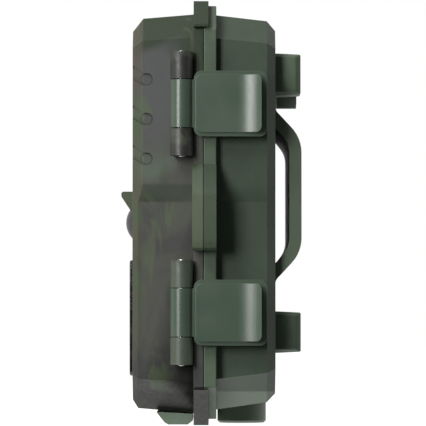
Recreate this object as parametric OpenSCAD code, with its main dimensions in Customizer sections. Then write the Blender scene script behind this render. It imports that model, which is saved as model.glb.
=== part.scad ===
// Trail camera in a two-part weatherproof case, on its feet and latched shut.
// +Z is up, the lens faces -Y and the two latches are on the +X side.
// The rear half straps to a tree and holds the cells; the front half holds
// the optics and the electronics, and swings open on the -X side.

/* [Case] */
// Overall height, over the rain skirt and the feet
case_h = 151; // [150.5:0.5:152]
// Half the width of the two flanges
flange_hw = 50; // [50:0.25:50.5]
// Half the width of the case above the belt
upper_hw = 47; // [46.8:0.1:47.2]
// Half the width of the case below the belt
lower_hw = 46; // [45.8:0.1:46.2]
// Plane where the two halves meet
part_y = -3; // [-3.2:0.1:-2.8]
// Front face of the case
front_y = -28.2; // [-28.5:0.1:-28]
// Rear face of the case
rear_y = 22.6; // [22.4:0.1:23]

/* [Latches] */
// Height of the upper latch's middle
upper_latch_z = 113.8; // [112:0.5:115]
// Height of the lower latch's middle
lower_latch_z = 40; // [39:0.5:41]
// Radius of the latch knuckles
knuckle_r = 4; // [3.6:0.1:4]
// Radius of the steel pins in the latches and the hinge
pin_r = 1.2; // [1:0.1:1.3]
// Radius of the hollow flare under the finger lip
flare_r = 15; // [14:0.5:18]

/* [Front] */
// Height of the camera lens
lens_z = 113; // [112:0.5:114]
// Height of the movement sensor's dome
pir_z = 73.2; // [73:0.1:73.6]
// Half the width of the flash window
flash_hw = 34; // [30:1:36]
// Number of flash columns
led_columns = 8; // [6:1:8]
// Number of flash rows
led_rows = 4; // [3:1:4]

/* [Power] */
// Radius of a cell
cell_r = 7.15; // [7:0.05:7.2]
// Length of a cell's body without its button
cell_len = 49; // [48.5:0.5:49]
// Distance between neighbouring cells
cell_pitch = 15.2; // [15:0.1:15.4]

/* [Mounting] */
// Wall radius of the two quarter-inch threaded inserts
thread_r = 2.6; // [2.5:0.05:3.2]
// Radius of the padlock holes
padlock_r = 3; // [2.5:0.1:3.2]
// Width of the strap bridge
bridge_w = 77; // [60:1:80]

/* [Hidden] */

$fn = 48;
skin = 0.01;

olive = [0.33, 0.37, 0.31];
green = [0.25, 0.30, 0.24];
pale_green = [0.31, 0.36, 0.31];
black = [0.08, 0.08, 0.09];
steel = [0.75, 0.75, 0.76];
brass = [0.80, 0.66, 0.33];
board_green = [0.06, 0.30, 0.16];
white = [0.90, 0.90, 0.88];
amber = [0.85, 0.55, 0.15];

// Case shells
belt_z0 = 79.4;
belt_z1 = 84.7;
half_gap = 0.1;
front_flange_y = -6.5;
rear_flange_y = 1.6;
flange_z0 = 2.2;
flange_z1 = case_h - 1.6;
flange_low_chamfer = 11.5;
flange_top_chamfer = 9;
cavity_hw = 43.4;
skirt_w = 1.3;
skirt_gap = 0.25;
skirt_y = -1.2;
skirt_low_z = 12.7;
skirt_top_z = 141.2;

// Each ring is [y, half width, height of the edge, corner chamfer]
front_upper = [[front_flange_y - 2 * skin, upper_hw, 146.6, 9],
    [front_y + 3.7, upper_hw - 0.4, 145.1, 8.6], [front_y, upper_hw - 3.9, 140.5, 6.5]];
front_lower = [[front_flange_y - 2 * skin, lower_hw, 4.3, 11],
    [front_y + 1.9, lower_hw - 0.4, 6, 10.6], [front_y, lower_hw - 2.2, 9, 9.5]];
rear_upper = [[rear_flange_y + skin, upper_hw, 146.3, 9],
    [rear_y - 3, upper_hw - 0.4, 144.2, 8.6], [rear_y, upper_hw - 3.4, 140.8, 7]];
rear_lower = [[rear_flange_y + skin, lower_hw, 5.5, 11],
    [rear_y - 3, lower_hw - 0.4, 8.1, 10.6], [rear_y, lower_hw - 3.4, 11.2, 9]];

// Hinge on the -X side
hinge_x = -54.5;
hinge_r = 4;
bore_gap = 0.05;
knuckle_gap = 0.3;
knuckle_mid = 17;

// Latches on the +X side
latch_x = 51.2;
latch_y = -10.7;
plate_x = 50.5;
plate_t = 2.4;
plate_end_y = 19.6;
pad_end_y = 17.5;
hook_z = 14;
hook_x = 48.7;

// Ears for a padlock
ear_x = 58.5;
ear_z0 = 61.8;
ear_z1 = 92.5;
padlock_x = 54;
padlock_z = 72;

// Optics in the front half
funnel_r = 17;
lens_window_r = 11.5;
lens_window_y = -22.6;
barrel_r = 7;
pir_r = 8.3;
pir_rise = 3.3;
pir_hole_r = 7;
hood_hw = 21;
hood_z = 83.9;
flash_z0 = 17.5;
flash_z1 = 58.9;
led_pitch = 7;
led_r = 2.5;
led_z = (flash_z0 + flash_z1) / 2;
side_light_x = 27;
side_light_z = 122;

// Control panel and its board
panel_y = -4.6;
panel_t = 1.7;
panel_hw = 42.8;
panel_z0 = 9.4;
panel_z1 = 140.4;
board_y = -12.6;
board_t = 1.6;
lcd_x = -10;
lcd_z = 108;
pad_x = 29;
pad_z = 108;
key_pitch = 8;
key_r = 2.9;
key_places = [[0, key_pitch], [0, -key_pitch], [-key_pitch, 0], [key_pitch, 0], [0, 0], [0, -20]];
slider_x = -12;
slider_z = 66;
card_x = 24;
card_z0 = 32;
card_w = 24;
card_h = 24;
usb_x = -12;
usb_z = 40;
av_x = -28;
speaker_x = -28;
speaker_z = 66;
post_x = 39.6;
post_z = [19, 75, 132];
post_r = 2.6;
jack_x = 18;
jack_y = -13;
cover_x0 = -1;
cover_x1 = 37;

// Cells in the rear half
tray_y = 9;
tray_hw = 34;
tray_z0 = 13;
tray_z1 = 137;
cell_y = 10.6;
cell_x = [for (i = [0:3]) (i - 1.5) * cell_pitch];
cell_z = [20, 81];
bay_len = 55.5;

// Rear fittings
bridge_z0 = 51.4;
bridge_z1 = 112.5;
bridge_y = 32;
slot_z0 = 57.2;
slot_z1 = 106.4;
slot_y = 27.7;
boss_z = 124.7;
boss_r = 9.5;
boss_y = 30.9;
foot_y = 10.9;
foot_r = 8.9;
insert_r = 4.5;
insert_len = 9;
rest_x = 32;
rest_hw = 7;
rest_z = [[25.7, 40.5], [117.6, 132.7]];
rest_y = 31.7;
rear_face = rear_y + skin;

// Half outline of a ring above or below the belt, as points in x and z
function ring_points(ring, belt) = let (
    hw = ring[1], edge = ring[2], c = ring[3], s = edge > belt ? -1 : 1)
    [[-hw, belt], [-hw, edge + s * c], [-hw + c, edge], [hw - c, edge], [hw, edge + s * c], [hw, belt]];

// A closed outline with chamfered corners, as points in x and z
function outline(hw, z0, z1, low_c, top_c) = [[-hw, z0 + low_c], [-hw + low_c, z0], [hw - low_c, z0],
    [hw, z0 + low_c], [hw, z1 - top_c], [hw - top_c, z1], [-hw + top_c, z1], [-hw, z1 - top_c]];

// Stands a flat x-z drawing up between two y planes
module slab(y0, y1) {
    translate([0, y1, 0])
        rotate([90, 0, 0])
        linear_extrude(y1 - y0)
        children();
}

// A block given by its two opposite corners
module block(low, high) {
    translate(low)
        cube(high - low);
}

// A cylinder along Y
module rod_y(x, z, y0, y1, r, r_end) {
    translate([x, y0, z])
        rotate([-90, 0, 0])
        cylinder(h = y1 - y0, r1 = r, r2 = is_undef(r_end) ? r : r_end);
}

// A cylinder along Z
module rod_z(x, y, z0, z1, r) {
    translate([x, y, z0])
        cylinder(h = z1 - z0, r = r);
}

// A flat rectangle with round corners, made of squares and circles
module round_rect(x0, z0, x1, z1, r) {
    translate([x0 + r, z0])
        square([x1 - x0 - 2 * r, z1 - z0]);
    translate([x0, z0 + r])
        square([x1 - x0, z1 - z0 - 2 * r]);
    for (x = [x0 + r, x1 - r], z = [z0 + r, z1 - r])
        translate([x, z])
            circle(r);
}

// One half of a shell on one side of the belt
module shell_part(rings, belt) {
    hull()
        for (ring = rings)
            slab(ring[0], ring[0] + skin)
                polygon(ring_points(ring, belt));
}

// The sloping belt between the wide upper half and the narrow lower half
module shell_belt(upper, lower) {
    hull() {
        translate([0, 0, belt_z1 - skin])
            linear_extrude(skin)
            polygon(concat([for (r = upper) [r[1], r[0]]], [for (i = [2:-1:0]) [-upper[i][1], upper[i][0]]]));
        translate([0, 0, belt_z0])
            linear_extrude(skin)
            polygon(concat([for (r = lower) [r[1], r[0]]], [for (i = [2:-1:0]) [-lower[i][1], lower[i][0]]]));
    }
}

module shell_solid(upper, lower) {
    shell_part(upper, belt_z1);
    shell_part(lower, belt_z0);
    shell_belt(upper, lower);
}

// Flange ring round the mouth of one half
module flange(y0, y1, cavity_z0, cavity_z1, low_c, top_c) {
    slab(y0, y1)
        difference() {
            polygon(outline(flange_hw, flange_z0, flange_z1, flange_low_chamfer, flange_top_chamfer));
            polygon(outline(cavity_hw, cavity_z0, cavity_z1, low_c, top_c));
        }
}

// Padlock ear that grows out of a flange's edge
module ear(y0, y1) {
    x0 = flange_hw + skin;
    slab(y0, y1)
        difference() {
            polygon([[x0, ear_z0 + 0.6], [ear_x - 4, ear_z0], [ear_x - 1.2, ear_z0 + 1],
                [ear_x, ear_z0 + 3.8], [ear_x, ear_z1 - 12], [ear_x - 1.2, ear_z1 - 8.5], [x0, ear_z1]]);
            translate([padlock_x, padlock_z])
                circle(padlock_r);
        }
}

// Hinge knuckle with the web that joins it to a flange's edge
module hinge_knuckle(z0, z1, web_y0, web_y1, bore_r) {
    difference() {
        union() {
            rod_z(hinge_x, part_y, z0, z1, hinge_r);
            block([hinge_x, web_y0, z0], [-flange_hw - skin, web_y1, z1]);
        }
        rod_z(hinge_x, part_y, z0 - 1, z1 + 1, bore_r);
    }
}

// Fixed knuckle of a latch, standing on the side of the front case
module latch_knuckle(z0, z1) {
    difference() {
        union() {
            rod_z(latch_x, latch_y, z0, z1, knuckle_r);
            block([lower_hw - 1, latch_y - 2.9, z0], [latch_x, latch_y + 2.9, z1]);
        }
        rod_z(latch_x, latch_y, z0 - 1, z1 + 1, pin_r + bore_gap / 5);
        translate([skin, 0, 0])
            shell_solid(front_upper, front_lower);
    }
}

// Round-ended finger groove that wraps over the front corner
module corner_groove(z) {
    depth = 0.7;
    edge_x = upper_hw - 0.4;
    edge_y = front_y + 3.6;
    translate([edge_x - depth, edge_y + 1.6, z])
        rotate([0, 90, 0])
        cylinder(h = 3, r = 2.1);
    block([edge_x - depth, edge_y - 0.6, z - 2.1], [edge_x + 3, edge_y + 1.6, z + 2.1]);
    translate([edge_x, edge_y, z])
        rotate([0, 0, -135])
        rotate([0, -29, 0])
        translate([-0.6, -depth, -2.1])
        cube([7.5, 3, 4.2]);
}

module rear_case() {
    color(green) difference() {
        union() {
            shell_solid(rear_upper, rear_lower);
            rod_y(0, boss_z, rear_y - 4, boss_y, boss_r);
            rod_y(0, boss_z, rear_y - 0.5, rear_y + 1.2, boss_r + 1, boss_r);
            rod_z(0, foot_y, 0.8, 11.5, foot_r);
            translate([0, foot_y, 0])
                cylinder(h = 0.8, r1 = foot_r - 0.8, r2 = foot_r);
        }
        difference() {
            slab(part_y, rear_y - 2.4)
                polygon(outline(cavity_hw, 10.8, 140.6, 8.5, 7));
            rod_z(0, foot_y, 0, 11.6, insert_r + 2);
        }
        rod_y(0, boss_z, boss_y - insert_len - 0.2, boss_y + 1, insert_r);
        rod_z(0, foot_y, -1, insert_len + 0.4, insert_r);
        for (x = [-1, 1], z = [28, 122])
            rod_y(x * (tray_hw + 3), z, rear_y - 3.4, rear_y - 1.4, 1.1);
    }
}

// Mouth of the rear half, notched where the latch hooks pass
module rear_flange() {
    color(green) difference() {
        flange(part_y + half_gap, rear_flange_y, 10.8, 140.6, 8.5, 7);
        slab(part_y - 1, part_y + 1.8)
            gasket_ring(0);
        for (z = [upper_latch_z, lower_latch_z])
            block([hook_x - 0.3, part_y - 1, z - hook_z / 2 - 0.6],
                [flange_hw + 2, rear_flange_y + 1, z + hook_z / 2 + 0.6]);
    }
}

module rear_ear() {
    color(green) ear(part_y + half_gap, rear_flange_y);
}

module rear_knuckles() {
    color(green) for (z = [upper_latch_z, lower_latch_z]) {
        hinge_knuckle(z - 18.4, z - knuckle_mid / 2 - knuckle_gap, part_y + half_gap, part_y + 3.6, pin_r);
        hinge_knuckle(z + knuckle_mid / 2 + knuckle_gap, z + 18.4, part_y + half_gap, part_y + 3.6, pin_r);
    }
}

// Flat outline of the seal, made wider or narrower by grow
module gasket_ring(grow) {
    difference() {
        polygon(outline(47.4 + grow, 5.1 - grow, 146.2 + grow, 10.6, 8.1));
        polygon(outline(45.2 - grow, 7.3 + grow, 144 - grow, 9.6, 7.2));
    }
}

module case_gasket() {
    color(black) slab(part_y - 0.9, part_y + 1.75)
        gasket_ring(-0.05);
}

module battery_tray() {
    color(black) difference() {
        union() {
            block([-tray_hw, tray_y, tray_z0], [tray_hw, rear_y - 2.6, tray_z1]);
            for (x = [-1, 1], z = [28, 122])
                rod_y(x * (tray_hw + 3), z, rear_y - 5.6, rear_y - 2.6, 3.4);
        }
        for (z = cell_z, x = cell_x) {
            rod_z(x, cell_y, z, z + bay_len, cell_r + 0.25);
            block([x - cell_r - 0.25, tray_y - 1, z], [x + cell_r + 0.25, cell_y, z + bay_len]);
        }
        for (x = [-1, 1], z = [28, 122])
            rod_y(x * (tray_hw + 3), z, rear_y - 6, rear_y, 1.4);
        for (z = [(tray_z0 + cell_z[0]) / 2, (tray_z1 + cell_z[1] + bay_len) / 2], x = [-22.5, 22.5])
            block([x - 9, tray_y - 1, z - 1.2], [x + 9, tray_y + 2, z + 1.2]);
    }
}

// Alternate cells stand head up and head down
function head_up(row, i) = (row + i) % 2 == 0;
spring_len = 4.1;

module batteries() {
    color(amber) for (row = [0, 1], i = [0:3]) {
        z0 = cell_z[row] + (head_up(row, i) ? 0.65 + spring_len : 1.75);
        rod_z(cell_x[i], cell_y, z0, z0 + cell_len, cell_r);
        rod_z(cell_x[i], cell_y, head_up(row, i) ? z0 + cell_len : z0 - 1.1,
            head_up(row, i) ? z0 + cell_len + 1.1 : z0, 2.7);
    }
}

// Points of one spring ring around its wire, on a cone that narrows to the cell
function coil_point(turn, side) = let (
    r = 4.4 - 0.5 * turn, w = 0.35, a = 360 * turn, b = 360 * side / 5)
    [(r + w * cos(b)) * cos(a), (r + w * cos(b)) * sin(a), w + (spring_len - 2 * w) * turn / 3 + w * sin(b)];

module cone_spring() {
    steps = 36;
    points = [for (k = [0:steps], s = [0:4]) coil_point(3 * k / steps, s)];
    walls = [for (k = [0:steps - 1], s = [0:4])
        [k * 5 + s, (k + 1) * 5 + s, (k + 1) * 5 + (s + 1) % 5, k * 5 + (s + 1) % 5]];
    ends = [[for (s = [0:4]) s], [for (s = [4:-1:0]) steps * 5 + s]];
    polyhedron(points = points, faces = concat(walls, ends));
}

module battery_springs() {
    color(steel) for (row = [0, 1], i = [0:3])
        translate([cell_x[i], cell_y, head_up(row, i) ? cell_z[row] + 0.6 : cell_z[row] + bay_len - 0.6])
            mirror([0, 0, head_up(row, i) ? 0 : 1])
            cone_spring();
}

module battery_contacts() {
    color(steel) for (z = cell_z, x = cell_x)
        for (plate_z = [z + 0.05, z + bay_len - 0.55])
            block([x - 5.5, cell_y - 5, plate_z], [x + 5.5, cell_y + 4.4, plate_z + 0.5]);
}

module tray_screws() {
    color(steel) for (x = [-1, 1], z = [28, 122]) {
        rod_y(x * (tray_hw + 3), z, rear_y - 7.2, rear_y - 5.6, 2.6);
        rod_y(x * (tray_hw + 3), z, rear_y - 5.7, rear_y - 1.5, 1.05);
    }
}

module hinge_pins() {
    color(steel) for (z = [upper_latch_z, lower_latch_z])
        rod_z(hinge_x, part_y, z - 18.8, z + 18.8, pin_r);
}

// Square block with bevelled edges that bites on the bark
module bark_rest(x, z0, z1) {
    hull() {
        block([x - rest_hw, rear_face, z0 + 1.3], [x + rest_hw, rest_y - 1.6, z1 - 1.3]);
        block([x - rest_hw + 1.4, rear_face, z0], [x + rest_hw - 1.4, rear_y + 1, z1]);
        block([x - rest_hw + 1.4, rear_face, z0 + 0.4], [x + rest_hw - 1.4, rest_y, z1 - 0.4]);
    }
}

module bark_rests() {
    color(green) for (x = [-rest_x, rest_x], z = rest_z)
        bark_rest(x, z[0], z[1]);
}

// Side outline of the strap bridge, with rounded shoulders
module bridge_outline(y, z0, z1, shoulder, r) {
    offset(r = r)
        offset(delta = -r)
        polygon([[0, z0 - shoulder], [rear_y, z0], [y, z0 + shoulder], [y, z1 - shoulder],
            [rear_y, z1], [0, z1 + shoulder]]);
}

// Fillets where the bridge grows out of the case
module bridge_roots() {
    offset(r = -4)
        offset(delta = 4)
        union() {
            children();
            translate([0, bridge_z0 - 20])
                square([rear_y, bridge_z1 - bridge_z0 + 40]);
        }
}

module strap_bridge() {
    color(olive) rotate([90, 0, 90])
        linear_extrude(bridge_w, center = true)
        intersection() {
            difference() {
                bridge_roots()
                    bridge_outline(bridge_y, bridge_z0, bridge_z1, 10.2, 13);
                bridge_outline(slot_y, slot_z0, slot_z1, 6.6, 9);
            }
            translate([rear_face, bridge_z0 - 10])
                square([20, bridge_z1 - bridge_z0 + 20]);
        }
}

module rear_insert() {
    color(brass) difference() {
        rod_y(0, boss_z, boss_y - insert_len, boss_y - 0.2, insert_r - 0.02);
        rod_y(0, boss_z, boss_y - insert_len - 1, boss_y + 1, thread_r);
    }
}

module tripod_insert() {
    color(brass) difference() {
        rod_z(0, foot_y, 0.2, insert_len + 0.2, insert_r - 0.02);
        rod_z(0, foot_y, -1, insert_len + 1, thread_r);
    }
}

// Rain skirt that laps over the rear flange along the top and the bottom
module skirt() {
    difference() {
        slab(front_flange_y, skirt_y)
            intersection() {
                polygon(outline(flange_hw + skirt_w, 0, case_h, 12.7, 8.8));
                union() {
                    translate([-38, -1])
                        square([100, skirt_low_z + 1]);
                    translate([-38, skirt_top_z])
                        square([100, 20]);
                }
            }
        slab(part_y - half_gap, skirt_y + 1)
            polygon(outline(flange_hw + skirt_gap, flange_z0 - skirt_gap, flange_z1 + skirt_gap,
                flange_low_chamfer, flange_top_chamfer));
        slab(front_flange_y - 1, part_y)
            polygon(outline(flange_hw - 2, flange_z0 + 2, flange_z1 - 2,
                flange_low_chamfer, flange_top_chamfer));
    }
}

// Wedge-shaped brow over the movement sensor
module hood() {
    rotate([90, 0, 90])
        linear_extrude(2 * hood_hw, center = true)
        polygon([[front_y + 1, hood_z], [front_y - 4, hood_z], [front_y - 4.6, hood_z - 0.6],
            [front_y - 4.5, hood_z - 1.9], [front_y - 1.6, hood_z - 6.3], [front_y + 1, hood_z - 6.3]]);
}

module front_case() {
    color(olive) difference() {
        union() {
            shell_solid(front_upper, front_lower);
            hood();
        }
        difference() {
            slab(front_y + 2.4, part_y)
                polygon(outline(cavity_hw, 8.8, 141, 9, 7));
            rod_y(0, lens_z, front_y, lens_window_y + 2.2, funnel_r + 3, lens_window_r + 2.5);
            for (x = [-post_x, post_x], z = post_z)
                rod_y(x, z, front_y, panel_y - panel_t - 0.1, post_r);
        }
        rod_y(0, lens_z, front_y - 0.01, lens_window_y, funnel_r, lens_window_r - 1);
        rod_y(0, lens_z, lens_window_y - 0.02, lens_window_y + 3, lens_window_r);
        rod_y(0, pir_z, front_y - 6, front_y + 4, pir_hole_r);
        slab(front_y - 1, front_y + 1.2)
            round_rect(-flash_hw - 0.15, flash_z0 - 0.15, flash_hw + 0.15, flash_z1 + 0.15, 3);
        slab(front_y + 1, front_y + 4)
            round_rect(-flash_hw + 2, flash_z0 + 2, flash_hw - 2, flash_z1 - 2, 2);
        for (x = [-side_light_x, side_light_x])
            rod_y(x, side_light_z, front_y - 1, front_y + 4, 2.4);
        rod_y(-side_light_x, side_light_z - 12, front_y - 1, front_y + 4, 0.7);
        for (side = [0, 1], z = [122.8, 108.7, 94.6])
            mirror([side, 0, 0])
                corner_groove(z);
        for (x = [-post_x, post_x], z = post_z)
            rod_y(x, z, panel_y - panel_t - 7, panel_y, 1.05);
        rod_z(jack_x, jack_y, -1, 10, 4);
    }
}

// Mouth of the front half, grooved for the seal, with its rain skirt
module front_flange() {
    color(olive) difference() {
        union() {
            flange(front_flange_y, part_y - half_gap, 8.8, 141, 9, 7);
            skirt();
        }
        slab(part_y - 1.3, part_y + 1)
            gasket_ring(0.3);
    }
}

module front_ear() {
    color(olive) ear(front_flange_y - 0.4, part_y - half_gap);
}

module front_knuckles() {
    color(olive) for (z = [upper_latch_z, lower_latch_z])
        hinge_knuckle(z - knuckle_mid / 2, z + knuckle_mid / 2, part_y - 3.5, part_y - half_gap,
            pin_r + bore_gap);
}

module latch_knuckles() {
    color(olive) for (z = [upper_latch_z, lower_latch_z]) {
        latch_knuckle(z - 18.4, z - knuckle_mid / 2 - knuckle_gap);
        latch_knuckle(z + knuckle_mid / 2 + knuckle_gap, z + 18.4);
    }
}

// Holes and windows of the control panel, as a flat drawing
module panel_openings() {
    round_rect(lcd_x - 21, lcd_z - 16, lcd_x + 21, lcd_z + 16, 1);
    for (key = key_places)
        translate([pad_x + key[0], pad_z + key[1]])
            circle(key_r + 0.2);
    round_rect(slider_x - 5, slider_z - 2.2, slider_x + 11, slider_z + 2.2, 1);
    round_rect(card_x - 14, card_z0 + card_h - 7, card_x + 14, card_z0 + card_h + 8, 2);
    round_rect(usb_x - 4.6, usb_z - 2.4, usb_x + 4.6, usb_z + 2.4, 0.8);
    translate([av_x, usb_z])
        circle(3.6);
    for (x = [-2:2], z = [-2:2])
        if (abs(x) + abs(z) < 4)
            translate([speaker_x + 2.6 * x, speaker_z + 2.6 * z])
                circle(0.8);
    for (x = [-post_x, post_x], z = post_z)
        translate([x, z])
            circle(1.3);
}

module control_panel() {
    color(black) slab(panel_y - panel_t, panel_y)
        difference() {
            polygon(outline(panel_hw, panel_z0, panel_z1, 9, 7));
            panel_openings();
        }
}

module panel_screws() {
    color(steel) for (x = [-post_x, post_x], z = post_z) {
        rod_y(x, z, panel_y, panel_y + 1.2, 2.3);
        rod_y(x, z, panel_y - 6, panel_y + 0.1, 1);
    }
}

module lcd_display() {
    back = panel_y - panel_t - 0.1;
    color(black) difference() {
        block([lcd_x - 25, back - 2.4, lcd_z - 20], [lcd_x + 25, back, lcd_z + 18]);
        block([lcd_x - 20.5, back - 0.4, lcd_z - 15.5], [lcd_x + 20.5, back + 1, lcd_z + 15.5]);
    }
}

module main_board() {
    color(board_green) difference() {
        block([-38, board_y, 22], [38, board_y + board_t, 130]);
        for (x = [-post_x, post_x], z = post_z)
            rod_y(x, z, board_y - 1, board_y + board_t + 1, post_r + 0.5);
    }
}

module tact_switches() {
    y0 = board_y + board_t;
    color(black) for (key = key_places) {
        block([pad_x + key[0] - 2.6, y0, pad_z + key[1] - 2.6],
            [pad_x + key[0] + 2.6, y0 + 1.9, pad_z + key[1] + 2.6]);
        rod_y(pad_x + key[0], pad_z + key[1], y0 + 1.8, y0 + 2.4, 1.4);
    }
}

module switch_body() {
    y0 = board_y + board_t;
    color(steel) difference() {
        block([slider_x - 7, y0, slider_z - 3.4], [slider_x + 13, y0 + 4, slider_z + 3.4]);
        block([slider_x - 5, y0 + 1.2, slider_z - 1.6], [slider_x + 11, y0 + 5, slider_z + 1.6]);
    }
}

module sd_socket() {
    y0 = board_y + board_t;
    color(steel) difference() {
        block([card_x - 14, y0, card_z0 - 2.5], [card_x + 14, y0 + 3.5, card_z0 + 18]);
        block([card_x - card_w / 2 - 0.3, y0 + 0.5, card_z0 - 0.5],
            [card_x + card_w / 2 + 0.3, y0 + 3.1, card_z0 + 20]);
    }
}

module usb_port() {
    y0 = board_y + board_t;
    color(steel) difference() {
        block([usb_x - 4, y0, usb_z - 2], [usb_x + 4, panel_y - 0.4, usb_z + 2]);
        difference() {
            block([usb_x - 3.5, y0 + 1, usb_z - 1.5], [usb_x + 3.5, panel_y, usb_z + 1.5]);
            block([usb_x - 2.6, y0, usb_z - 0.4], [usb_x + 2.6, panel_y - 1.4, usb_z + 0.4]);
        }
    }
}

module av_jack() {
    y0 = board_y + board_t;
    color(black) difference() {
        union() {
            block([av_x - 3.6, y0, usb_z - 3.6], [av_x + 3.6, y0 + 4.2, usb_z + 3.6]);
            rod_y(av_x, usb_z, y0 + 4, panel_y - 0.3, 3.2);
        }
        rod_y(av_x, usb_z, y0 + 1, panel_y + 1, 1.8);
    }
}

module speaker() {
    y1 = panel_y - panel_t - 0.2;
    color(steel) difference() {
        rod_y(speaker_x, speaker_z, y1 - 3.6, y1, 7.8);
        rod_y(speaker_x, speaker_z, y1 - 1, y1 + 1, 6.8);
    }
}

module flash_window() {
    color(black) {
        slab(front_y - 1.25, front_y + 1.1)
            round_rect(-flash_hw, flash_z0, flash_hw, flash_z1, 3);
    }
}

module led_board() {
    color(board_green) block([-flash_hw + 1.5, front_y + 7.6, flash_z0 + 1],
        [flash_hw - 1.5, front_y + 9.2, flash_z1 - 1]);
}

// One round flash lamp with a domed tip that points forwards
module flash_led(x, z) {
    rod_y(x, z, front_y + 6.5, front_y + 7.6, led_r + 0.4);
    rod_y(x, z, front_y + 4.3, front_y + 6.6, led_r);
    translate([x, front_y + 4.3, z])
        sphere(led_r);
}

module flash_leds() {
    color(white) for (i = [0:led_columns - 1], k = [0:led_rows - 1])
        flash_led((i - (led_columns - 1) / 2) * led_pitch * 1.15,
            led_z + (k - (led_rows - 1) / 2) * led_pitch * 1.25);
}

module lens_window() {
    color(white) rod_y(0, lens_z, lens_window_y + 0.02, lens_window_y + 1.5, lens_window_r - 0.05);
}

module lens_barrel() {
    color(black) difference() {
        union() {
            rod_y(0, lens_z, -20.8, -16.4, barrel_r);
            rod_y(0, lens_z, -16.5, -15.7, barrel_r - 0.9);
        }
        rod_y(0, lens_z, -21, -18.9, 5.2, 3.4);
        rod_y(0, lens_z, -19, -15, 3.4);
    }
}

module lens_glass() {
    color(white) intersection() {
        rod_y(0, lens_z, -19.6, -17, 3.35);
        translate([0, -14.3, lens_z])
            sphere(5.2);
    }
}

module lens_holder() {
    color(black) difference() {
        block([-9, -15.7, lens_z - 9], [9, board_y, lens_z + 9]);
        rod_y(0, lens_z, -17, board_y + 1, 4.2);
        block([-20, -14.6, lens_z - 5.3], [20, -13.7, lens_z + 5.3]);
    }
}

module image_sensor() {
    color(black) block([-2.8, board_y - 0.8, lens_z - 2.8], [2.8, board_y, lens_z + 2.8]);
}

module ir_cut_filter() {
    color(steel) difference() {
        block([-14.4, -14.45, lens_z - 5], [5, -13.85, lens_z + 5]);
        rod_y(-9.3, lens_z, -15, -13, 3.6);
    }
}

module pir_dome() {
    color(black) {
        difference() {
            intersection() {
                translate([0, front_y - pir_rise + pir_r, pir_z])
                    sphere(pir_r);
                rod_y(0, pir_z, front_y - 4, front_y + 2.6, pir_hole_r - 0.1);
            }
            translate([0, front_y - pir_rise + pir_r, pir_z])
                sphere(pir_r - 1.2);
        }
        difference() {
            rod_y(0, pir_z, front_y + 2.45, front_y + 3.6, pir_hole_r + 2.2);
            rod_y(0, pir_z, front_y + 2, front_y + 4, pir_hole_r - 1.2);
        }
        difference() {
            rod_y(0, pir_z, front_y + 1, front_y + 2.6, pir_hole_r - 0.1);
            rod_y(0, pir_z, front_y, front_y + 4, pir_hole_r - 1.4);
        }
    }
}

module pir_sensor() {
    color(steel) {
        rod_y(0, pir_z, front_y + 7.2, board_y, 4.6);
        rod_y(0, pir_z, board_y - 1.2, board_y, 5.1);
    }
}

module light_sensor() {
    color(white) {
        rod_y(-side_light_x, side_light_z, front_y - 0.2, front_y + 2.6, 2.35);
        rod_y(-side_light_x, side_light_z, front_y + 2.5, front_y + 3.4, 3.4);
    }
}

module status_led() {
    color(white) {
        rod_y(side_light_x, side_light_z, front_y - 0.2, front_y + 2.6, 2.35);
        rod_y(side_light_x, side_light_z, front_y + 2.5, front_y + 3.4, 3.4);
    }
}

module microphone() {
    color(steel) rod_y(-side_light_x, side_light_z - 12, front_y + 2.5, front_y + 5, 3);
}

module latch_pins() {
    color(steel) for (z = [upper_latch_z, lower_latch_z])
        rod_z(latch_x, latch_y, z - 18.8, z + 18.8, pin_r);
}

module dc_jack() {
    color(black) difference() {
        rod_z(jack_x, jack_y, 5.4, 19, 3.95);
        difference() {
            rod_z(jack_x, jack_y, 4, 16, 2.75);
            rod_z(jack_x, jack_y, 6.5, 17, 1);
        }
    }
}

// One latch: knuckle, arm, cover plate and flared finger pad
module latch(z) {
    pad_x1 = plate_x + plate_t + 0.7;
    color(pale_green) difference() {
        union() {
            rod_z(latch_x, latch_y, z - knuckle_mid / 2, z + knuckle_mid / 2, knuckle_r);
            block([plate_x, latch_y, z - knuckle_mid / 2],
                [plate_x + plate_t, front_flange_y + 1, z + knuckle_mid / 2]);
            rotate([90, 0, 90])
                translate([0, 0, plate_x])
                linear_extrude(plate_t)
                round_rect(front_flange_y + 0.15, z - 11.6, plate_end_y, z + 11.6, 2.8);
            difference() {
                rotate([90, 0, 90])
                    translate([0, 0, plate_x + 1])
                    linear_extrude(6)
                    round_rect(front_flange_y + 0.8, z - 10.2, pad_end_y, z + 10.2, 2);
                rod_z(pad_x1 + flare_r, pad_end_y - 8.6, z - 20, z + 20, flare_r);
                block([pad_x1, -20, z - 20], [80, pad_end_y - 8.6, z + 20]);
                block([pad_x1 + 3, 0, z - 20], [80, 30, z + 20]);
            }
        }
        rod_z(latch_x, latch_y, z - 20, z + 20, pin_r + bore_gap);
    }
}

// Barb under a latch's cover plate that reaches behind the rear flange
module catch(z) {
    y0 = rear_flange_y + 0.6;
    x1 = plate_x - skin;
    color(pale_green) translate([0, 0, z])
        linear_extrude(hook_z, center = true)
        polygon([[x1, y0], [hook_x, y0], [hook_x, y0 + 0.9], [x1, y0 + 2.3]]);
}

module upper_latch() {
    latch(upper_latch_z);
}

module lower_latch() {
    latch(lower_latch_z);
}

module upper_catch() {
    catch(upper_latch_z);
}

module lower_catch() {
    catch(lower_latch_z);
}

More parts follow.
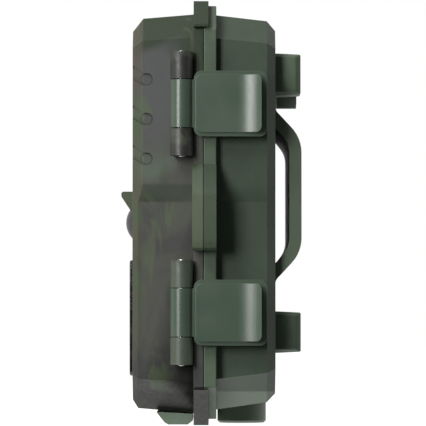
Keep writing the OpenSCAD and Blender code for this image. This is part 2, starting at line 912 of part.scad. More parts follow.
// Sprung key that stands out of the panel and presses a switch behind it
module key(i) {
    x = pad_x + key_places[i][0];
    z = pad_z + key_places[i][1];
    color(white) {
        rod_y(x, z, panel_y - panel_t - 0.7, panel_y + 0.9, key_r);
        rod_y(x, z, panel_y - panel_t - 1.1, panel_y - panel_t - 0.2, key_r + 0.8);
        rod_y(x, z, board_y + board_t + 3, panel_y - panel_t - 1, 1.4);
    }
}

module button_up() {
    key(0);
}

module button_down() {
    key(1);
}

module button_left() {
    key(2);
}

module button_right() {
    key(3);
}

module button_ok() {
    key(4);
}

module button_menu() {
    key(5);
}

module power_slider() {
    y0 = board_y + board_t;
    color(white) {
        block([slider_x - 4.5, y0 + 1.4, slider_z - 1.4], [slider_x + 2, y0 + 3.6, slider_z + 1.4]);
        block([slider_x - 3, y0 + 3.4, slider_z - 1.4], [slider_x + 0.6, panel_y + 0.9, slider_z + 1.4]);
    }
}

module sd_card() {
    y0 = board_y + board_t + 0.75;
    color(black) rotate([90, 0, 0])
        translate([0, 0, -y0 - 2.1])
        linear_extrude(2.1)
        polygon([[card_x - card_w / 2, card_z0], [card_x + card_w / 2 - 4, card_z0],
            [card_x + card_w / 2, card_z0 + 4], [card_x + card_w / 2, card_z0 + card_h],
            [card_x - card_w / 2, card_z0 + card_h]]);
}

// Rubber cover under the power socket, hinged on its -X end
module port_cover() {
    color(pale_green) {
        rotate([90, 0, 90])
            translate([0, 0, cover_x0])
            linear_extrude(cover_x1 - cover_x0)
            polygon([[-19.8, 4.6], [-16.9, 1], [-15.6, 0.2], [-8.6, 0.2],
                [-6.8, 1.6], [-6.8, 4], [-18, 4.6]]);
        rod_z(jack_x, jack_y, 3, 6, 2.5);
    }
}

rear_case();
rear_flange();
rear_ear();
rear_knuckles();
case_gasket();
battery_tray();
batteries();
battery_springs();
battery_contacts();
tray_screws();
hinge_pins();
bark_rests();
strap_bridge();
rear_insert();
tripod_insert();
front_case();
front_flange();
front_ear();
front_knuckles();
latch_knuckles();
control_panel();
panel_screws();
lcd_display();
main_board();
tact_switches();
switch_body();
sd_socket();
usb_port();
av_jack();
speaker();
flash_window();
led_board();
flash_leds();
lens_window();
lens_barrel();
lens_glass();
lens_holder();
image_sensor();
ir_cut_filter();
pir_dome();
pir_sensor();
light_sensor();
status_led();
microphone();
latch_pins();
dc_jack();
upper_latch();
upper_catch();
lower_latch();
lower_catch();
button_up();
button_down();
button_left();
button_right();
button_ok();
button_menu();
power_slider();
sd_card();
port_cover();
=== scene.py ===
import math

import bmesh
import bpy
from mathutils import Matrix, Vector


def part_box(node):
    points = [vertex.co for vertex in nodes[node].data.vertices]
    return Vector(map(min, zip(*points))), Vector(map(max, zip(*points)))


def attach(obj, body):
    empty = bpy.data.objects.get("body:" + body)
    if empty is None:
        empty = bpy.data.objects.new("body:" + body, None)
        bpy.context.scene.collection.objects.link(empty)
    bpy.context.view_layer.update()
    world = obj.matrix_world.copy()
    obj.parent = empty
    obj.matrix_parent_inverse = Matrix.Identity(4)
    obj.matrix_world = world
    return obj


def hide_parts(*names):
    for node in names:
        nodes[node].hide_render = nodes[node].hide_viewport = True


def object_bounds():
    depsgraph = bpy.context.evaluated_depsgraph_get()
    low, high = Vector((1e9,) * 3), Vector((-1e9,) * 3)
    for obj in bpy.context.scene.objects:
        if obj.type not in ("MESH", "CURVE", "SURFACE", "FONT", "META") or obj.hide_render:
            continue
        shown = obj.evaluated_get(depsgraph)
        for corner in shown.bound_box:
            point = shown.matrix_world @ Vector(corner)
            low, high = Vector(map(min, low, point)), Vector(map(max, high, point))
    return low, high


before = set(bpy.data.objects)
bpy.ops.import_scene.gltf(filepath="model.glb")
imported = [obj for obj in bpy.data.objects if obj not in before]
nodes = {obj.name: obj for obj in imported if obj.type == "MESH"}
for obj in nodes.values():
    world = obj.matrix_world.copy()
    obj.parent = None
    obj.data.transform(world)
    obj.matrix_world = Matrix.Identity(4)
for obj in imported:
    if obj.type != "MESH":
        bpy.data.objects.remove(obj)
cad_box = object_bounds()
MM = 0.001


# ---------------------------------------------------------------- node trees

class Tree:
    """A principled material under construction; every texture is placed by object coordinates."""

    def __init__(self, name):
        self.material = bpy.data.materials.new(name)
        self.material.use_nodes = True
        self.nodes = self.material.node_tree.nodes
        self.links = self.material.node_tree.links
        self.shader = self.nodes["Principled BSDF"]
        self.place = self.add("ShaderNodeTexCoord").outputs["Object"]

    def add(self, kind, **settings):
        made = self.nodes.new(kind)
        for name, value in settings.items():
            setattr(made, name, value)
        return made

    def feed(self, socket, value):
        if isinstance(value, bpy.types.NodeSocket):
            self.links.new(value, socket)
        else:
            socket.default_value = value

    def moved(self, offset=(0, 0, 0), turn=(0, 0, 0), scale=(1, 1, 1)):
        """Object coordinates that are moved, turned and stretched."""
        mapping = self.add("ShaderNodeMapping")
        self.feed(mapping.inputs["Vector"], self.place)
        mapping.inputs["Location"].default_value = offset
        mapping.inputs["Rotation"].default_value = turn
        mapping.inputs["Scale"].default_value = scale
        return mapping.outputs["Vector"]

    def noise(self, scale, detail=3.0, roughness=0.5, distortion=0.0, vector=None):
        made = self.add("ShaderNodeTexNoise")
        self.feed(made.inputs["Vector"], vector or self.place)
        made.inputs["Scale"].default_value = scale
        made.inputs["Detail"].default_value = detail
        made.inputs["Roughness"].default_value = roughness
        made.inputs["Distortion"].default_value = distortion
        return made.outputs["Fac"]

    def cells(self, scale, feature="F1", vector=None):
        """Distance to the nearest point, or to the nearest border, of a random pattern of cells."""
        made = self.add("ShaderNodeTexVoronoi", feature=feature)
        self.feed(made.inputs["Vector"], vector or self.place)
        made.inputs["Scale"].default_value = scale
        return made.outputs["Distance"]

    def axis(self, name):
        split = self.add("ShaderNodeSeparateXYZ")
        self.feed(split.inputs[0], self.place)
        return split.outputs[name]

    def calc(self, op, a, b=0.0, c=None):
        """The result of one operation on one to three values."""
        made = self.add("ShaderNodeMath", operation=op)
        self.feed(made.inputs[0], a)
        self.feed(made.inputs[1], b)
        if c is not None:
            self.feed(made.inputs[2], c)
        return made.outputs[0]

    def span(self, value, low, high, out_low=0.0, out_high=1.0):
        """value between low and high, spread smoothly over out_low to out_high."""
        made = self.add("ShaderNodeMapRange", interpolation_type="SMOOTHSTEP")
        self.feed(made.inputs["Value"], value)
        limits = {"From Min": low, "From Max": high, "To Min": out_low, "To Max": out_high}
        for name, number in limits.items():
            made.inputs[name].default_value = number
        return made.outputs["Result"]

    def mix(self, fac, a, b, blend="MIX"):
        made = self.add("ShaderNodeMix", data_type="RGBA", blend_type=blend)
        self.feed(made.inputs["Factor"], fac)
        self.feed(made.inputs["A"], shade(a))
        self.feed(made.inputs["B"], shade(b))
        return made.outputs["Result"]

    def bump(self, height, strength, distance, normal=None):
        made = self.add("ShaderNodeBump")
        self.feed(made.inputs["Height"], height)
        made.inputs["Strength"].default_value = strength
        made.inputs["Distance"].default_value = distance
        if normal is not None:
            self.feed(made.inputs["Normal"], normal)
        return made.outputs["Normal"]

    def finish(self, colour, roughness, normal=None, **sockets):
        self.feed(self.shader.inputs["Base Color"], shade(colour))
        self.feed(self.shader.inputs["Roughness"], roughness)
        if normal is not None:
            self.feed(self.shader.inputs["Normal"], normal)
        for name, value in sockets.items():
            self.feed(self.shader.inputs[name.replace("_", " ")], value)
        return self.material


def srgb(r, g, b):
    """A colour written as 0-255 screen values, in linear light."""
    def linear(v):
        v /= 255
        return v / 12.92 if v <= 0.04045 else ((v + 0.055) / 1.055) ** 2.4
    return (linear(r), linear(g), linear(b), 1.0)


def shade(value):
    """A socket as it is, or a colour with full opacity."""
    return value if isinstance(value, bpy.types.NodeSocket) else (*value[:3], 1.0)


# ------------------------------------------------------------------ materials

GREEN = srgb(58, 72, 56)
GREEN_LIGHT = srgb(70, 84, 66)
GREEN_DARK = srgb(48, 60, 46)


def moulded_grain(tree):
    """The fine spark-eroded grain of a moulding, with a slower waviness under it."""
    grain_scale, grain_height = 2600, 0.00004
    wave_scale, wave_height = 60, 0.0006
    grain = tree.noise(grain_scale, 2, 0.6)
    slow = tree.bump(tree.noise(wave_scale, 2), 0.25, wave_height)
    return tree.bump(grain, 0.35, grain_height, slow)


def finger_rim_shade(tree, up):
    """Painted shade, a dark ring in the rims of the three round finger dimples on each side of the front
    half.
    """
    first, pitch, middle_y, radius = 0.0946, 0.0141, -0.0232, 0.0020
    rim_outside, rim_inside = 0.00032, 0.00008
    from_below, from_above, from_middle = (0.0895, 0.0900), (0.1285, 0.1280), (0.040, 0.041)
    row = tree.calc("DIVIDE", tree.calc("SUBTRACT", up, first), pitch)
    across = tree.calc("MULTIPLY", tree.calc("SUBTRACT", row, tree.calc("ROUND", row)), pitch)
    along = tree.calc("SUBTRACT", tree.axis("Y"), middle_y)
    squares = tree.calc("ADD", tree.calc("MULTIPLY", across, across), tree.calc("MULTIPLY", along, along))
    reach = tree.calc("SQRT", squares)
    off_rim = tree.calc("ABSOLUTE", tree.calc("SUBTRACT", reach, radius))
    rim = tree.span(off_rim, rim_outside, rim_inside, 0, 0.7)
    band = tree.calc("MULTIPLY", tree.span(up, *from_below), tree.span(up, *from_above))
    side = tree.span(tree.calc("ABSOLUTE", tree.axis("X")), *from_middle)
    return tree.calc("MULTIPLY", tree.calc("MULTIPLY", rim, band), side)


def camouflage():
    """Soft woodland print: wide blurred patches of mud, bark grey and moss, with thin slanting streaks."""
    tree = Tree("camouflage")
    mud_below, purple_above, moss_above = (0.070, 0.084), (0.098, 0.118), (0.128, 0.136)
    belt_bottom, belt_top = (0.0785, 0.0800), (0.0862, 0.0848)
    front_from, flat_front_from, hood_from = (-0.0235, -0.0262), (-0.0279, -0.02815), (-0.02835, -0.0287)
    darker_below = (0.0136, 0.0110)
    up = tree.axis("Z")
    wobble = tree.noise(22, 3, 0.55, 0.6)
    drift = tree.calc("MULTIPLY_ADD", wobble, 0.06, -0.03)
    level = tree.calc("ADD", up, drift)
    slant = tree.moved(turn=(math.radians(38), math.radians(18), math.radians(20)), scale=(1, 1, 0.28))

    grey_green = srgb(70, 83, 69)
    purple_grey = srgb(64, 65, 65)
    mud = srgb(61, 62, 56)
    moss = srgb(31, 43, 25)
    olive = srgb(68, 81, 54)
    dark = srgb(40, 43, 39)

    colour = tree.mix(tree.span(tree.noise(26, 2, 0.5, 0.8), 0.42, 0.58), grey_green, mud)
    colour = tree.mix(tree.span(level, *purple_above), colour, purple_grey)
    colour = tree.mix(tree.span(level, *moss_above), colour, moss)
    low = tree.calc("SUBTRACT", 1.0, tree.span(level, *mud_below))
    deep = srgb(52, 52, 51)
    lower = tree.mix(tree.span(tree.noise(34, 3, 0.55, 1.0), 0.44, 0.56), mud, deep)
    colour = tree.mix(low, colour, lower)

    belt = tree.calc("MULTIPLY", tree.span(up, *belt_bottom), tree.span(up, *belt_top))
    colour = tree.mix(tree.calc("MULTIPLY", belt, 0.7), colour, moss)

    streak = tree.noise(70, 3, 0.6, 1.4, slant)
    colour = tree.mix(tree.calc("MULTIPLY", tree.span(streak, 0.54, 0.66), 0.6), colour, olive)
    colour = tree.mix(tree.calc("MULTIPLY", tree.span(streak, 0.42, 0.30), 0.3), colour, dark)
    leaf = tree.cells(55, vector=tree.moved(turn=(0.7, 0.2, 0.4), scale=(1, 1.6, 0.7)))
    colour = tree.mix(tree.calc("MULTIPLY", tree.span(leaf, 0.28, 0.16), 0.28), colour, moss)

    face = tree.span(tree.axis("Y"), *front_from)
    mottle = tree.noise(48, 4, 0.6, 1.2)
    front = tree.mix(tree.span(mottle, 0.40, 0.60), srgb(50, 62, 41), srgb(60, 56, 44))
    front = tree.mix(tree.span(tree.noise(36, 3, 0.5, 0.8), 0.55, 0.66), front, dark)
    colour = tree.mix(tree.calc("MULTIPLY", face, 0.75), colour, front)

    patch = tree.span(tree.noise(30, 3, 0.5, 1.4), 0.44, 0.54)
    patch = tree.mix(patch, srgb(60, 72, 50), srgb(72, 66, 52))
    patch = tree.mix(tree.span(tree.noise(24, 3, 0.5, 1.8, slant), 0.50, 0.59), patch, srgb(79, 83, 76))
    patch = tree.mix(tree.span(tree.noise(38, 3, 0.55, 1.6, slant), 0.55, 0.63), patch, srgb(42, 47, 38))
    colour = tree.mix(tree.span(tree.axis("Y"), *flat_front_from), colour, patch)
    colour = tree.mix(tree.span(tree.axis("Y"), *hood_from), colour, srgb(58, 69, 47))

    # darker towards the bottom
    colour = tree.mix(tree.calc("MULTIPLY", tree.span(up, *darker_below), 0.8), colour, srgb(21, 23, 18))
    # painted shade: a dark ring round each finger dimple, standing in for the shaded dimple wall
    colour = tree.mix(finger_rim_shade(tree, up), colour, srgb(22, 24, 22))
    roughness = tree.span(tree.noise(900, 2), 0.3, 0.7, 0.44, 0.58)
    return tree.finish(colour, roughness, moulded_grain(tree), Specular_IOR_Level=0.42)


def shell_green(name, base, light, dark, foot_painted_light=None):
    """Plain moulded green, slightly uneven, with a fine grain; a foot colour, when given, is painted light
    low down, on the boss.
    """
    painted_light_below = (0.0125, 0.0115)
    tree = Tree(name)
    blotch = tree.noise(38, 4, 0.6)
    colour = tree.mix(tree.span(blotch, 0.35, 0.65), base, light)
    speck = tree.span(tree.noise(420, 3, 0.6), 0.60, 0.78)
    colour = tree.mix(tree.calc("MULTIPLY", speck, 0.5), colour, dark)
    if foot_painted_light:
        # painted light: lighter low down, on the boss under the case, as if lit from below
        colour = tree.mix(tree.span(tree.axis("Z"), *painted_light_below), colour, foot_painted_light)
    roughness = tree.span(tree.noise(1200, 2), 0.3, 0.7, 0.42, 0.54)
    return tree.finish(colour, roughness, moulded_grain(tree), Specular_IOR_Level=0.42)


def knuckle_grey():
    """The printed knuckles beside the latches: dark grey above, greener below."""
    tree = Tree("knuckle_camouflage")
    green_below = (0.07, 0.09)
    up = tree.calc("MULTIPLY_ADD", tree.noise(60, 3), 0.02, tree.axis("Z"))
    colour = tree.mix(tree.span(up, *green_below), srgb(62, 70, 58), srgb(36, 36, 34))
    colour = tree.mix(tree.span(tree.noise(90, 3, 0.6, 1.0), 0.5, 0.62), colour, srgb(56, 60, 50))
    roughness = tree.span(tree.noise(900, 2), 0.3, 0.7, 0.40, 0.52)
    return tree.finish(colour, roughness, moulded_grain(tree), Specular_IOR_Level=0.45)


def latch_green():
    tree = Tree("latch_green")
    colour = tree.mix(tree.span(tree.noise(50, 3), 0.35, 0.65), srgb(58, 72, 59), srgb(65, 78, 65))
    roughness = tree.span(tree.noise(1600, 2), 0.3, 0.7, 0.29, 0.36)
    grain = tree.bump(tree.noise(3400, 2, 0.6), 0.15, 0.00003)
    return tree.finish(colour, roughness, grain, Specular_IOR_Level=0.5)


def plain(name, colour, rough, grain, scale, **sockets):
    """A quiet finish: slightly uneven colour and roughness over a fine grain."""
    tree = Tree(name)
    second = tuple(c * 0.8 for c in colour[:3])
    mixed = tree.mix(tree.span(tree.noise(90, 4, 0.6), 0.3, 0.7), colour, second)
    roughness = tree.span(tree.noise(scale, 3), 0.25, 0.75, max(0.02, rough - 0.07), rough + 0.07)
    normal = tree.bump(tree.noise(scale * 1.5, 2), grain, 0.00003)
    return tree.finish(mixed, roughness, normal, **sockets)


def metal(name, colour, rough):
    """Bare metal, brushed along one direction."""
    tree = Tree(name)
    brushed = tree.noise(900, 3, 0.6, vector=tree.moved(scale=(1, 1, 8)))
    mixed = tree.mix(tree.span(brushed, 0.3, 0.7), colour, tuple(c * 0.78 for c in colour[:3]))
    roughness = tree.span(brushed, 0.3, 0.7, rough - 0.08, rough + 0.1)
    return tree.finish(mixed, roughness, tree.bump(brushed, 0.12, 0.00002), Metallic=1.0)


def clear(name, colour, rough, ior, transmission=1.0):
    """Clear plastic with a faint smear."""
    tree = Tree(name)
    smear = tree.span(tree.noise(120, 3), 0.3, 0.7, rough, rough + 0.02)
    return tree.finish(colour, smear, tree.bump(tree.noise(700, 2), 0.02, 0.00001),
                       Transmission_Weight=transmission, IOR=ior)


def coated_lens():
    tree = Tree("coated_lens")
    sheen = tree.mix(tree.span(tree.noise(160, 1), 0.4, 0.6), srgb(30, 22, 60), srgb(20, 48, 52))
    return tree.finish(sheen, 0.04, Coat_Weight=1.0, Specular_IOR_Level=0.8)


def flash_filter():
    """Nearly black infrared filter, with the rows of lamps behind it just showing."""
    tree = Tree("flash_filter")
    columns, rows, lamp_base = 8, 4, 0.0058
    low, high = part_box("flash_leds")
    pitch_x = (high[0] - low[0] - lamp_base) / (columns - 1)
    pitch_z = (high[2] - low[2] - lamp_base) / (rows - 1)
    middle_z = (low[2] + high[2]) / 2
    grid = tree.moved(offset=(0.5, 0, 0.5 - middle_z / pitch_z), scale=(1 / pitch_x, 0, 1 / pitch_z))
    lamps = tree.add("ShaderNodeTexVoronoi", feature="F1")
    tree.feed(lamps.inputs["Vector"], grid)
    lamps.inputs["Scale"].default_value = 1
    lamps.inputs["Randomness"].default_value = 0
    reach = lamps.outputs["Distance"]
    up = tree.axis("Z")
    inside = tree.calc("MULTIPLY", tree.span(up, low[2] - MM, low[2]), tree.span(up, high[2] + MM, high[2]))
    ring = tree.calc("MULTIPLY", tree.span(reach, 0.34, 0.30), inside)
    tip = tree.calc("MULTIPLY", tree.span(reach, 0.16, 0.10), inside)
    colour = tree.mix(ring, srgb(19, 16, 20), srgb(34, 29, 34))
    colour = tree.mix(tip, colour, srgb(54, 48, 54))
    smear = tree.span(tree.noise(120, 3), 0.3, 0.7, 0.07, 0.14)
    return tree.finish(colour, smear, tree.bump(tree.noise(700, 2), 0.02, 0.00001), Specular_IOR_Level=0.4)


def circuit():
    tree = Tree("circuit_board")
    tracks = tree.cells(420, "DISTANCE_TO_EDGE")
    line = tree.span(tracks, 0.03, 0.05)
    colour = tree.mix(line, srgb(60, 120, 74), srgb(16, 66, 40))
    pads = tree.span(tree.cells(620), 0.13, 0.09)
    colour = tree.mix(pads, colour, srgb(196, 186, 150))
    return tree.finish(colour, 0.35, tree.bump(line, 0.2, 0.00005), Coat_Weight=0.3)


def cell_wrap():
    """Shrink wrap of a plain cell: dark body with a copper band by the head."""
    tree = Tree("cell_wrap")
    up = tree.axis("Z")
    heads = (((0.0238, 0.0240), (0.0385, 0.0383)), ((0.0868, 0.0870), (0.0995, 0.0993)))
    low, high = (tree.calc("MULTIPLY", tree.span(up, *start), tree.span(up, *end)) for start, end in heads)
    band = tree.calc("MAXIMUM", low, high)
    colour = tree.mix(band, srgb(40, 42, 44), srgb(150, 92, 48))
    return tree.finish(colour, 0.28, tree.bump(tree.noise(300, 2), 0.05, 0.0001), Coat_Weight=0.5)


def screen():
    tree = Tree("screen")
    colour = tree.mix(tree.span(tree.noise(500, 1), 0.4, 0.6), srgb(14, 17, 22), srgb(20, 24, 31))
    return tree.finish(colour, 0.12, tree.bump(tree.noise(900, 1), 0.01, 0.00001), Coat_Weight=1.0)


def fresnel_dome():
    """Dark polythene dome, moulded in fine facets."""
    tree = Tree("sensor_dome")
    low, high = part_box("pir_dome")
    middle = (low + high) / 2
    facets = tree.cells(520, "DISTANCE_TO_EDGE", tree.moved(offset=-middle))
    colour = tree.mix(tree.span(tree.noise(200, 2), 0.3, 0.7), srgb(40, 40, 42), srgb(50, 50, 52))
    return tree.finish(colour, 0.38, tree.bump(facets, 0.25, 0.0001), Specular_IOR_Level=0.5)


looks = {
    "camo": camouflage(),
    "rear": shell_green("shell_green", GREEN, GREEN_LIGHT, GREEN_DARK),
    # painted shade: the rear wall is the same moulding as the rim, given darker greens for the shade it
    # lies in; its foot colour is painted light
    "rear_wall_painted_shade_and_light": shell_green("wall_green_painted_shade_and_light", srgb(46, 58, 45), srgb(53, 66, 51), srgb(38, 48, 37),
                             foot_painted_light=srgb(90, 104, 87)),
    "ear_rear": shell_green("rear_ear_green", srgb(44, 57, 42), srgb(54, 66, 50), srgb(38, 48, 36)),
    "ear": shell_green("ear_green", srgb(62, 74, 57), srgb(71, 82, 62), srgb(50, 58, 46)),
    "knuckle": knuckle_grey(),
    "bridge": shell_green("bridge_green", srgb(66, 78, 62), srgb(76, 87, 71), GREEN_DARK),
    "latch": latch_green(),
    "rubber": plain("seal_rubber", srgb(34, 34, 35), 0.7, 0.4, 1400),
    "cover": plain("cover_rubber", srgb(92, 107, 90), 0.6, 0.3, 1500),
    "black": plain("black_plastic", srgb(33, 34, 35), 0.5, 0.5, 1500),
    "steel": metal("steel", (0.62, 0.62, 0.63), 0.28),
    "brass": metal("brass", (0.62, 0.45, 0.2), 0.3),
    "window": flash_filter(),
    "clear": clear("clear_window", (0.97, 0.99, 0.99, 1), 0.0, 1.25),
    "lamp": clear("lamp_epoxy", (0.85, 0.82, 0.9, 1), 0.05, 1.45, 0.85),
    "lens": coated_lens(),
    "dome": fresnel_dome(),
    "board": circuit(),
    "wrap": cell_wrap(),
    "screen": screen(),
    "key": plain("key_grey", srgb(150, 152, 150), 0.5, 0.3, 1500),
    "status": plain("status_filter", srgb(28, 12, 14), 0.15, 0.03, 700, Coat_Weight=1.0),
}

FINISH = {
    "rear_case": ("rear", 0), "rear_flange": ("rear", 0), "rear_ear": ("ear_rear", 0.7),
    "rear_knuckles": ("rear", 0.35), "front_flange": ("camo", 0), "front_ear": ("ear", 0.7),
    "front_knuckles": ("camo", 0.35), "latch_knuckles": ("knuckle", 0.5), "upper_catch": ("latch", 0.2),
    "lower_catch": ("latch", 0.2), "case_gasket": ("rubber", 0.2), "battery_tray": ("black", 0.3),
    "batteries": ("wrap", 0.4), "battery_springs": ("steel", 0), "battery_contacts": ("steel", 0.1),
    "tray_screws": ("steel", 0.2), "hinge_pins": ("steel", 0.25), "bark_rests": ("rear", 0),
    "strap_bridge": ("bridge", 0), "rear_insert": ("brass", 0.2), "tripod_insert": ("brass", 0.2),
    "front_case": ("camo", 0), "control_panel": ("black", 0.25), "panel_screws": ("steel", 0.3),
    "lcd_display": ("screen", 0.2), "main_board": ("board", 0.1), "tact_switches": ("black", 0.1),
    "switch_body": ("steel", 0.1), "sd_socket": ("steel", 0.1), "usb_port": ("steel", 0.1),
    "av_jack": ("black", 0.2), "speaker": ("steel", 0.2), "flash_window": ("window", 0.6),
    "led_board": ("board", 0.1), "flash_leds": ("lamp", 0), "lens_window": ("clear", 0.1),
    "lens_barrel": ("black", 0.2), "lens_glass": ("lens", 0), "lens_holder": ("black", 0.2),
    "image_sensor": ("screen", 0.05), "ir_cut_filter": ("lens", 0.05), "pir_dome": ("dome", 0),
    "pir_sensor": ("steel", 0.2), "light_sensor": ("clear", 0.15), "status_led": ("status", 0.15),
    "microphone": ("steel", 0.1), "latch_pins": ("steel", 0.25), "dc_jack": ("black", 0.2),
    "upper_latch": ("latch", 0.55), "lower_latch": ("latch", 0.55), "button_up": ("key", 0.35),
    "button_down": ("key", 0.35), "button_left": ("key", 0.35), "button_right": ("key", 0.35),
    "button_ok": ("key", 0.35), "button_menu": ("key", 0.35), "power_slider": ("key", 0.25),
    "sd_card": ("black", 0.2), "port_cover": ("cover", 0.5),
}


SHARP = math.radians(24)
BEVEL_STEPS = 3
CAD_WELD = 0.004 * MM
CAD_FLAT = math.radians(0.6)
CLEAN_WELD = 0.01 * MM
CLEAN_FLAT = math.radians(1)
SLIVER = 0.04 * MM
SLIVER_ROUNDS = 4
SEAM_REACH = 0.05


def soften(obj, bevel_mm, limit="ANGLE"):
    """Rounds an object's edges and evens out its shading."""
    if bevel_mm:
        bevel = obj.modifiers.new("edges", "BEVEL")
        bevel.width = bevel_mm * MM
        bevel.segments = BEVEL_STEPS
        bevel.limit_method = limit
        bevel.angle_limit = SHARP
        bevel.use_clamp_overlap = True
    weigh = obj.modifiers.new("normals", "WEIGHTED_NORMAL")
    weigh.keep_sharp = True


def paint(mesh, material):
    """Gives every face of a mesh one material and smooth shading."""
    mesh.materials.clear()
    mesh.materials.append(material)
    for face in mesh.polygons:
        face.use_smooth = True
        face.material_index = 0


def dress(obj, material, bevel_mm):
    """Gives a CAD node its material and softens its edges."""
    mesh = obj.data
    for name in ("custom_normal", "sharp_face", "sharp_edge"):
        if name in mesh.attributes:
            mesh.attributes.remove(mesh.attributes[name])
    paint(mesh, material)
    if not bevel_mm:
        mesh.set_sharp_from_angle(angle=SHARP)
    weld = obj.modifiers.new("weld", "WELD")
    weld.merge_threshold = CAD_WELD
    flat = obj.modifiers.new("flats", "DECIMATE")
    flat.decimate_type = "DISSOLVE"
    flat.angle_limit = CAD_FLAT
    soften(obj, bevel_mm)


def longest(face):
    return max(face.edges, key=lambda edge: edge.calc_length())


def cleaned(name, node, body, material, bevel_mm, seam=None):
    """A piece with a CAD node's shape, made of whole flat faces, so that its edges round cleanly.

    Edges in the seam plane, where the piece is moulded onto its neighbour, stay unrounded. The seam is
    its place along Y, in millimetres.
    """
    bm = bmesh.new()
    bm.from_mesh(nodes[node].data)
    bmesh.ops.remove_doubles(bm, verts=bm.verts, dist=CLEAN_WELD)
    for _ in range(SLIVER_ROUNDS):
        thin = {longest(f) for f in bm.faces
                if len(f.verts) == 3 and 2 * f.calc_area() < SLIVER * longest(f).calc_length()}
        if not thin:
            break
        bmesh.ops.dissolve_edges(bm, edges=list(thin), use_verts=False)
    bmesh.ops.dissolve_limit(bm, angle_limit=CLEAN_FLAT, use_dissolve_boundaries=False,
                             verts=bm.verts, edges=bm.edges)
    weight = bm.edges.layers.float.new("bevel_weight_edge")
    for edge in bm.edges:
        on_seam = seam is not None and all(abs(v.co.y / MM - seam) < SEAM_REACH for v in edge.verts)
        if len(edge.link_faces) == 2 and edge.calc_face_angle() > SHARP:
            edge[weight] = 0 if on_seam else 1
            edge.smooth = not on_seam
    mesh = bpy.data.meshes.new(name)
    bm.to_mesh(mesh)
    bm.free()
    paint(mesh, material)
    piece = bpy.data.objects.new(name, mesh)
    bpy.context.scene.collection.objects.link(piece)
    soften(piece, bevel_mm, "WEIGHT")
    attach(piece, body)
    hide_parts(node)


for name, (look, bevel_mm) in FINISH.items():
    dress(nodes[name], looks[look], bevel_mm)

FRONT_SEAM = -6.52
REAR_SEAM = 1.61
BACK_SEAM = 22.61
cleaned("front_shell", "front_case", "front_half", looks["camo"], 0.4, FRONT_SEAM)
cleaned("front_rim", "front_flange", "front_half", looks["camo"], 0.35)
cleaned("rear_shell", "rear_case", "rear_half", looks["rear_wall_painted_shade_and_light"], 0.45, REAR_SEAM)
cleaned("rear_rim", "rear_flange", "rear_half", looks["rear"], 0.35)
cleaned("bark_blocks", "bark_rests", "rear_half", looks["rear"], 0.5, BACK_SEAM)
cleaned("strap_bar", "strap_bridge", "rear_half", looks["bridge"], 0.7, BACK_SEAM)


# --------------------------------------------------------- studio and camera

def area_light(name, place, target, size, power):
    data = bpy.data.lights.new(name, "AREA")
    data.shape = "RECTANGLE"
    data.size, data.size_y = size
    data.energy = power
    light = bpy.data.objects.new(name, data)
    bpy.context.scene.collection.objects.link(light)
    light.location = place
    light.rotation_euler = (Vector(target) - Vector(place)).to_track_quat("-Z", "Y").to_euler()


def around(middle, turn, height, distance):
    """A place round the object: turn is measured from +X towards -Y, height above the floor, in degrees."""
    turn, height = math.radians(turn), math.radians(height)
    flat = distance * math.cos(height)
    return middle + Vector((flat * math.cos(turn), -flat * math.sin(turn), distance * math.sin(height)))


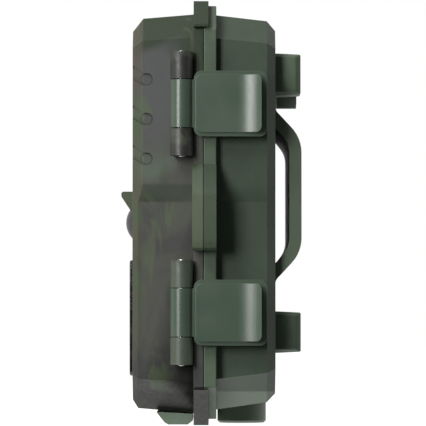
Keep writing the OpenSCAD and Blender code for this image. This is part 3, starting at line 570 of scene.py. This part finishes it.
def white_surround():
    """A white room that is dark on the +X side; seen directly, it is white all round."""
    world = bpy.data.worlds.new("studio")
    bpy.context.scene.world = world
    world.use_nodes = True
    tree = world.node_tree

    def made(kind, **inputs):
        node = tree.nodes.new(kind)
        for name, value in inputs.items():
            node.inputs[name.replace("_", " ")].default_value = value
        return node

    direction = made("ShaderNodeTexCoord")
    split = made("ShaderNodeSeparateXYZ")
    side = made("ShaderNodeMapRange", From_Min=0.55, From_Max=-0.05, To_Min=0.09, To_Max=0.85)
    side.interpolation_type = "SMOOTHSTEP"
    path = made("ShaderNodeLightPath")
    level = made("ShaderNodeMix")
    tree.links.new(direction.outputs["Generated"], split.inputs[0])
    tree.links.new(split.outputs["X"], side.inputs["Value"])
    tree.links.new(path.outputs["Is Camera Ray"], level.inputs["Factor"])
    tree.links.new(side.outputs["Result"], level.inputs["A"])
    level.inputs["B"].default_value = 1.0
    back = tree.nodes["Background"]
    back.inputs["Color"].default_value = (1, 1, 1, 1)
    tree.links.new(level.outputs["Result"], back.inputs["Strength"])


LIGHT_DISTANCE = 1.5
BOUNCE_DEPTH = 1.2
FLOOR_HALF = 6
FLOOR_DROP = 0.00005


def studio():
    """Two lights on the latch side, one from below, and a white floor that casts and catches nothing."""
    middle = (cad_box[0] + cad_box[1]) / 2
    area_light("key", around(middle, 42, 46, LIGHT_DISTANCE), middle, size=(0.55, 0.8), power=19)
    area_light("strip", around(middle, 34, 12, LIGHT_DISTANCE), middle, size=(0.5, 0.62), power=18.5)
    area_light("bounce", middle - Vector((0, 0, BOUNCE_DEPTH)), middle, size=(1.4, 1.4), power=8)

    bm = bmesh.new()
    bmesh.ops.create_grid(bm, x_segments=8, y_segments=8, size=FLOOR_HALF)
    mesh = bpy.data.meshes.new("floor")
    bm.to_mesh(mesh)
    bm.free()
    floor = bpy.data.objects.new("floor", mesh)
    bpy.context.scene.collection.objects.link(floor)
    floor.location.z = -FLOOR_DROP
    tree = Tree("studio_floor")
    pale = tree.mix(tree.noise(3, 2), (0.10, 0.10, 0.10), (0.12, 0.12, 0.12))
    tree.finish(pale, 0.9, Emission_Color=(1, 1, 1, 1), Emission_Strength=1.0, Specular_IOR_Level=0.1)
    mesh.materials.append(tree.material)
    floor.visible_diffuse = False
    floor.visible_glossy = False
    floor.visible_shadow = False

    white_surround()
    bpy.context.scene.view_settings.view_transform = "Standard"


CAMERA_PLACE = (1.3, 0.0004, 0.034)
CAMERA_AIM = (0.05, 0.0004, 0.0752)


def camera():
    """A long lens on the latch side, a little above the floor."""
    data = bpy.data.cameras.new("camera")
    data.lens = 299
    data.sensor_width = 36
    data.clip_start = 0.01
    made = bpy.data.objects.new("camera", data)
    bpy.context.scene.collection.objects.link(made)
    made.location = CAMERA_PLACE
    made.rotation_euler = (Vector(CAMERA_AIM) - made.location).to_track_quat("-Z", "Y").to_euler()
    bpy.context.scene.camera = made


studio()
camera()
